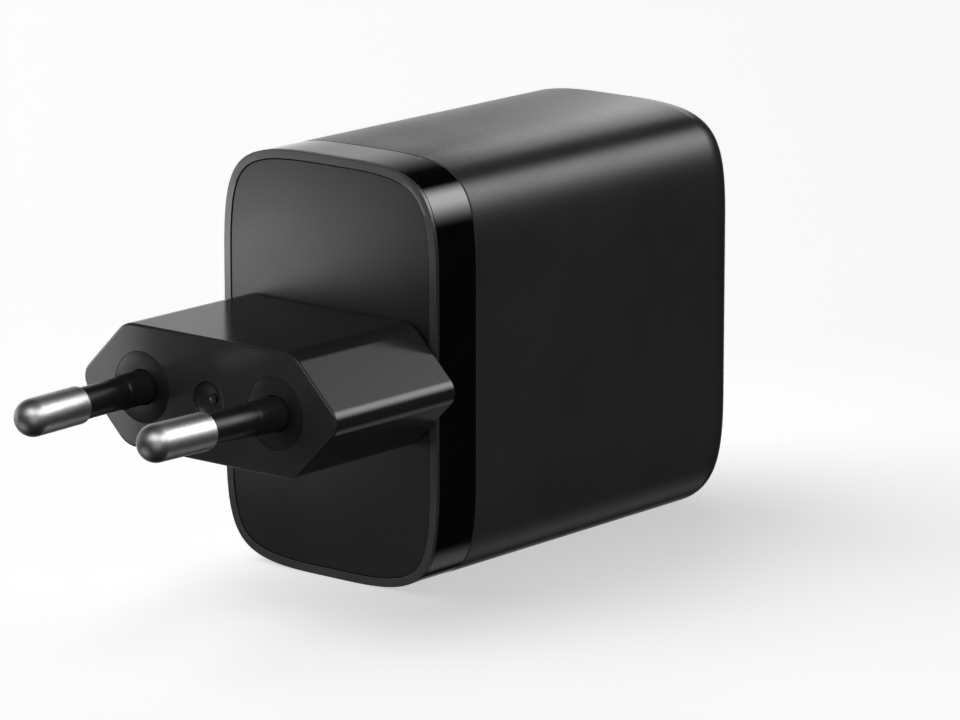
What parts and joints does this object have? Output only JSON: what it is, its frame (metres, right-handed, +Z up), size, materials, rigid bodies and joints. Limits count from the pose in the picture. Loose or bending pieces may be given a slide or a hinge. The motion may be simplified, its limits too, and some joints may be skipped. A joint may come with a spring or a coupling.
{
  "type": "usb wall charger",
  "caption": "Tall slim black wall charger with a fixed flat two-pin plug on its back, a polished band round the back edge and charging sockets on its front.",
  "frame": {"origin": "centre of the plug face that meets the wall socket, midway between the two pins", "axes": "+X along the pair of pins, +Y from the wall into the charger towards its port face, +Z up the tall side of the body"},
  "size_m": [0.0352, 0.0919, 0.0458],
  "materials": {
    "housing_black": "fine-grained satin black",
    "band_black": "polished black",
    "back_black": "fine-grained matte black",
    "plug_black": "satin black",
    "bush_black": "smooth satin black",
    "pin_nickel": "nickel plated, polished",
    "tongue_black": "moulded black",
    "contact_gold": "gold plated",
    "spring_brass": "bare",
    "steel": "tin plated, smooth",
    "screw_steel": "zinc plated",
    "board_green": "solder mask",
    "ferrite": "sintered, matt",
    "copper": "enamelled wire",
    "tape_yellow": "polyester tape",
    "bobbin_black": "moulded",
    "box_yellow": "moulded case",
    "fuse_brown": "moulded case",
    "can_aluminium": "drawn can, satin",
    "rubber_black": "matt",
    "ceramic_blue": "dipped coating",
    "chip_black": "moulded package",
    "pad_grey": "soft silicone",
    "spreader": "mill finish",
    "sheet_clear": "translucent film"
  },
  "bodies": {
    "root": {"housing_shell": "housing_black", "gloss_band": "band_black", "back_frame": "back_black", "back_plate": "back_black", "plug_body": "plug_black", "pin_left": "pin_nickel", "pin_right": "pin_nickel", "sleeve_left": "bush_black", "sleeve_right": "bush_black", "pin_bush_left": "bush_black", "pin_bush_right": "bush_black", "plug_clamps": "bobbin_black", "clamp_screws": "screw_steel", "contact_left": "spring_brass", "contact_right": "spring_brass", "main_board": "board_green", "port_board": "board_green", "usb_c_upper_shell": "steel", "usb_c_upper_tongue": "tongue_black", "usb_c_upper_contacts": "contact_gold", "usb_c_lower_shell": "steel", "usb_c_lower_tongue": "tongue_black", "usb_c_lower_contacts": "contact_gold", "usb_a_shell": "steel", "usb_a_tongue": "tongue_black", "usb_a_contacts": "contact_gold", "transformer_core": "ferrite", "transformer_bobbin": "bobbin_black", "transformer_winding": "copper", "transformer_tape": "tape_yellow", "choke_core": "ferrite", "choke_windings": "copper", "choke_base": "bobbin_black", "x_capacitor": "box_yellow", "fuse": "fuse_brown", "bulk_capacitors": "can_aluminium", "bulk_seals": "rubber_black", "polymer_capacitors": "can_aluminium", "output_inductor": "ferrite", "y_capacitor": "ceramic_blue", "bridge_rectifier": "chip_black", "power_chip": "chip_black", "optocoupler": "chip_black", "thermal_pad": "pad_grey", "heat_spreader": "spreader", "insulating_sheet": "sheet_clear", "port_controllers": "chip_black"}
  },
  "joints": []
}
